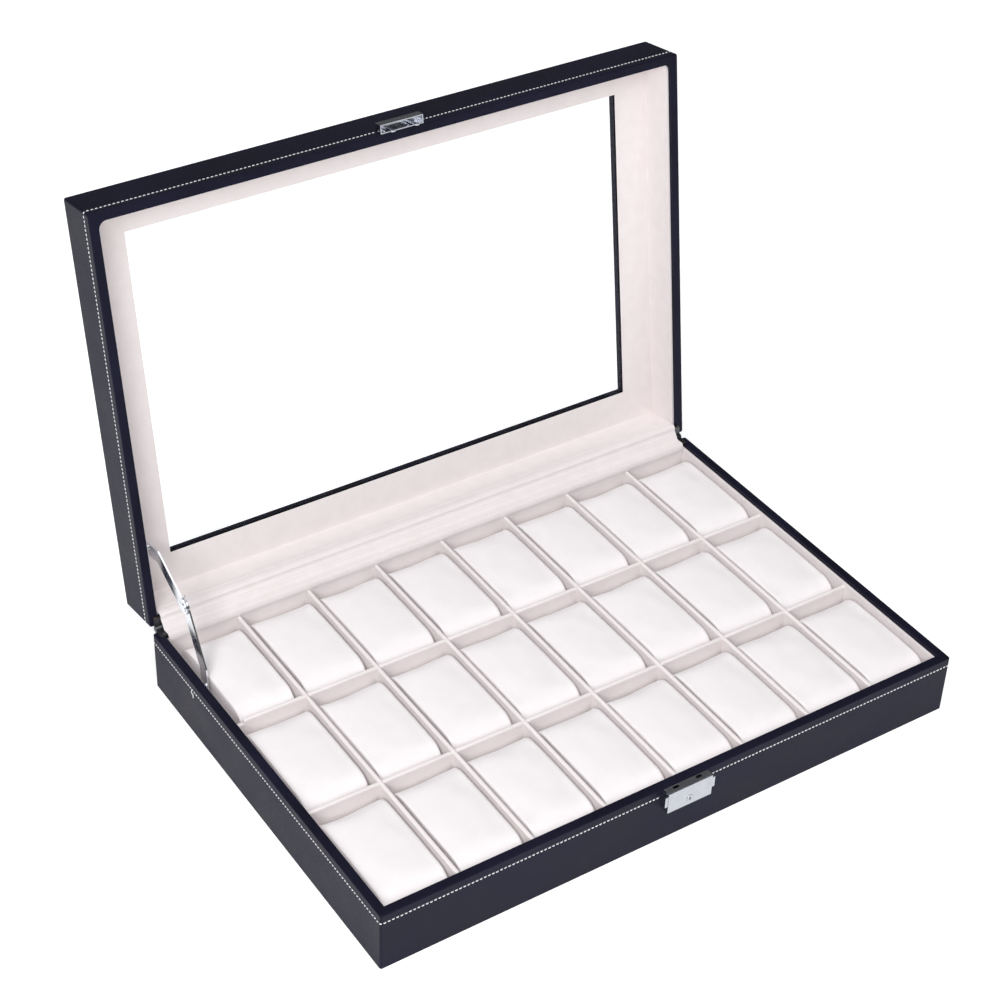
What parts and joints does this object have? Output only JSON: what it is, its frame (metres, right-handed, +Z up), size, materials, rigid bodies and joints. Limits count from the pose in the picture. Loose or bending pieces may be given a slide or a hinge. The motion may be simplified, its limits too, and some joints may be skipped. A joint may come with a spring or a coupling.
{
  "type": "watch box",
  "caption": "Hinged display box for watches with a window lid, a folding lid stay, a front lock and loose pillows in velvet-lined compartments.",
  "frame": {"origin": "centre of the underside of the base, on the surface that the box stands on", "axes": "+X to the right along the long front, -Y out of the front with the lock, +Z up; the lid is open"},
  "size_m": [0.45, 0.3919, 0.3514],
  "materials": {
    "black_leather": "fine-grained, slightly glossy black leatherette",
    "fibreboard": "bare fibreboard, hidden under the wrap",
    "cream_velvet": "short-pile cream velvet on card",
    "cream_pillow": "short-pile cream velvet over soft foam",
    "bright_nickel": "polished nickel plate",
    "zinc_steel": "plain zinc-plated steel",
    "clear_glass": "clear, polished"
  },
  "bodies": {
    "base": {"base_leather_wrap": "black_leather", "base_front_board": "fibreboard", "base_back_board": "fibreboard", "base_side_boards": "fibreboard", "base_bottom_board": "fibreboard", "base_underside_cover": "black_leather", "base_floor_lining": "cream_velvet", "base_wall_linings": "cream_velvet", "row_dividers": "cream_velvet", "column_dividers": "cream_velvet", "hinge_base_leaf": "zinc_steel", "hinge_base_screws": "zinc_steel", "hinge_pin": "zinc_steel", "hinge_strip": "cream_velvet", "stay_base_bracket": "bright_nickel", "lock_case": "bright_nickel", "lock_front_plate": "bright_nickel", "lock_screws": "zinc_steel"},
    "lid": {"lid_leather_wrap": "black_leather", "lid_front_board": "fibreboard", "lid_back_board": "fibreboard", "lid_side_boards": "fibreboard", "lid_top_rails": "fibreboard", "lid_wall_linings": "cream_velvet", "window_glass": "clear_glass", "window_panel": "cream_velvet", "hinge_lid_leaf": "zinc_steel", "hinge_lid_screws": "zinc_steel", "lock_catch": "bright_nickel", "catch_screws": "zinc_steel", "stay_lid_bracket": "bright_nickel"},
    "stay_lower": {"stay_lower_link": "bright_nickel", "stay_knee_rivet": "bright_nickel"},
    "stay_upper": {"stay_upper_link": "bright_nickel"},
    "lock_plug": {"lock_plug": "bright_nickel"},
    "lock_bar": {"lock_bar": "zinc_steel"},
    "pillow_r1_c1": {"pillow_r1_c1": "cream_pillow"},
    "pillow_r1_c2": {"pillow_r1_c2": "cream_pillow"},
    "pillow_r1_c3": {"pillow_r1_c3": "cream_pillow"},
    "pillow_r1_c4": {"pillow_r1_c4": "cream_pillow"},
    "pillow_r1_c5": {"pillow_r1_c5": "cream_pillow"},
    "pillow_r1_c6": {"pillow_r1_c6": "cream_pillow"},
    "pillow_r1_c7": {"pillow_r1_c7": "cream_pillow"},
    "pillow_r1_c8": {"pillow_r1_c8": "cream_pillow"},
    "pillow_r2_c1": {"pillow_r2_c1": "cream_pillow"},
    "pillow_r2_c2": {"pillow_r2_c2": "cream_pillow"},
    "pillow_r2_c3": {"pillow_r2_c3": "cream_pillow"},
    "pillow_r2_c4": {"pillow_r2_c4": "cream_pillow"},
    "pillow_r2_c5": {"pillow_r2_c5": "cream_pillow"},
    "pillow_r2_c6": {"pillow_r2_c6": "cream_pillow"},
    "pillow_r2_c7": {"pillow_r2_c7": "cream_pillow"},
    "pillow_r2_c8": {"pillow_r2_c8": "cream_pillow"},
    "pillow_r3_c1": {"pillow_r3_c1": "cream_pillow"},
    "pillow_r3_c2": {"pillow_r3_c2": "cream_pillow"},
    "pillow_r3_c3": {"pillow_r3_c3": "cream_pillow"},
    "pillow_r3_c4": {"pillow_r3_c4": "cream_pillow"},
    "pillow_r3_c5": {"pillow_r3_c5": "cream_pillow"},
    "pillow_r3_c6": {"pillow_r3_c6": "cream_pillow"},
    "pillow_r3_c7": {"pillow_r3_c7": "cream_pillow"},
    "pillow_r3_c8": {"pillow_r3_c8": "cream_pillow"}
  },
  "joints": [
    {"name": "lid_hinge", "type": "hinge", "parent": "base", "child": "lid", "pos_m": [0, 0.1527, 0.046], "axis": [-1, 0, 0], "range_deg": [-98.8, 0], "deforming": ["hinge_strip"]},
    {"name": "stay_lower_hinge", "type": "hinge", "parent": "base", "child": "stay_lower", "pos_m": [-0.212, 0.0992, 0.0314], "axis": [-1, 0, 0], "range_deg": [-98.8, 0]},
    {"name": "stay_upper_hinge", "type": "hinge", "parent": "lid", "child": "stay_upper", "pos_m": [-0.2134, 0.1755, 0.0984], "axis": [-1, 0, 0], "range_deg": [0, 98.8]},
    {"name": "lock_turn", "type": "hinge", "parent": "base", "child": "lock_plug", "pos_m": [0, -0.153, 0.034], "axis": [0, -1, 0], "range_deg": [0, 90]},
    {"name": "lock_bar_slide", "type": "slide", "parent": "base", "child": "lock_bar", "axis": [-1, 0, 0], "range_m": [0, 0.00212]},
    {"name": "pillow_lift_r1_c1", "type": "slide", "parent": "base", "child": "pillow_r1_c1", "axis": [0, 0, 1], "range_m": [0, 0.055]},
    {"name": "pillow_lift_r1_c2", "type": "slide", "parent": "base", "child": "pillow_r1_c2", "axis": [0, 0, 1], "range_m": [0, 0.055]},
    {"name": "pillow_lift_r1_c3", "type": "slide", "parent": "base", "child": "pillow_r1_c3", "axis": [0, 0, 1], "range_m": [0, 0.055]},
    {"name": "pillow_lift_r1_c4", "type": "slide", "parent": "base", "child": "pillow_r1_c4", "axis": [0, 0, 1], "range_m": [0, 0.055]},
    {"name": "pillow_lift_r1_c5", "type": "slide", "parent": "base", "child": "pillow_r1_c5", "axis": [0, 0, 1], "range_m": [0, 0.055]},
    {"name": "pillow_lift_r1_c6", "type": "slide", "parent": "base", "child": "pillow_r1_c6", "axis": [0, 0, 1], "range_m": [0, 0.055]},
    {"name": "pillow_lift_r1_c7", "type": "slide", "parent": "base", "child": "pillow_r1_c7", "axis": [0, 0, 1], "range_m": [0, 0.055]},
    {"name": "pillow_lift_r1_c8", "type": "slide", "parent": "base", "child": "pillow_r1_c8", "axis": [0, 0, 1], "range_m": [0, 0.055]},
    {"name": "pillow_lift_r2_c1", "type": "slide", "parent": "base", "child": "pillow_r2_c1", "axis": [0, 0, 1], "range_m": [0, 0.055]},
    {"name": "pillow_lift_r2_c2", "type": "slide", "parent": "base", "child": "pillow_r2_c2", "axis": [0, 0, 1], "range_m": [0, 0.055]},
    {"name": "pillow_lift_r2_c3", "type": "slide", "parent": "base", "child": "pillow_r2_c3", "axis": [0, 0, 1], "range_m": [0, 0.055]},
    {"name": "pillow_lift_r2_c4", "type": "slide", "parent": "base", "child": "pillow_r2_c4", "axis": [0, 0, 1], "range_m": [0, 0.055]},
    {"name": "pillow_lift_r2_c5", "type": "slide", "parent": "base", "child": "pillow_r2_c5", "axis": [0, 0, 1], "range_m": [0, 0.055]},
    {"name": "pillow_lift_r2_c6", "type": "slide", "parent": "base", "child": "pillow_r2_c6", "axis": [0, 0, 1], "range_m": [0, 0.055]},
    {"name": "pillow_lift_r2_c7", "type": "slide", "parent": "base", "child": "pillow_r2_c7", "axis": [0, 0, 1], "range_m": [0, 0.055]},
    {"name": "pillow_lift_r2_c8", "type": "slide", "parent": "base", "child": "pillow_r2_c8", "axis": [0, 0, 1], "range_m": [0, 0.055]},
    {"name": "pillow_lift_r3_c1", "type": "slide", "parent": "base", "child": "pillow_r3_c1", "axis": [0, 0, 1], "range_m": [0, 0.055]},
    {"name": "pillow_lift_r3_c2", "type": "slide", "parent": "base", "child": "pillow_r3_c2", "axis": [0, 0, 1], "range_m": [0, 0.055]},
    {"name": "pillow_lift_r3_c3", "type": "slide", "parent": "base", "child": "pillow_r3_c3", "axis": [0, 0, 1], "range_m": [0, 0.055]},
    {"name": "pillow_lift_r3_c4", "type": "slide", "parent": "base", "child": "pillow_r3_c4", "axis": [0, 0, 1], "range_m": [0, 0.055]},
    {"name": "pillow_lift_r3_c5", "type": "slide", "parent": "base", "child": "pillow_r3_c5", "axis": [0, 0, 1], "range_m": [0, 0.055]},
    {"name": "pillow_lift_r3_c6", "type": "slide", "parent": "base", "child": "pillow_r3_c6", "axis": [0, 0, 1], "range_m": [0, 0.055]},
    {"name": "pillow_lift_r3_c7", "type": "slide", "parent": "base", "child": "pillow_r3_c7", "axis": [0, 0, 1], "range_m": [0, 0.055]},
    {"name": "pillow_lift_r3_c8", "type": "slide", "parent": "base", "child": "pillow_r3_c8", "axis": [0, 0, 1], "range_m": [0, 0.055]}
  ],
  "couplings": [
    {"joint": "stay_lower_hinge", "follows": "lid_hinge", "ratio": 1},
    {"joint": "stay_upper_hinge", "follows": "lid_hinge", "ratio": -1},
    {"joint": "lock_turn", "follows": "lock_bar_slide", "rad_per_m": 740.59}
  ]
}
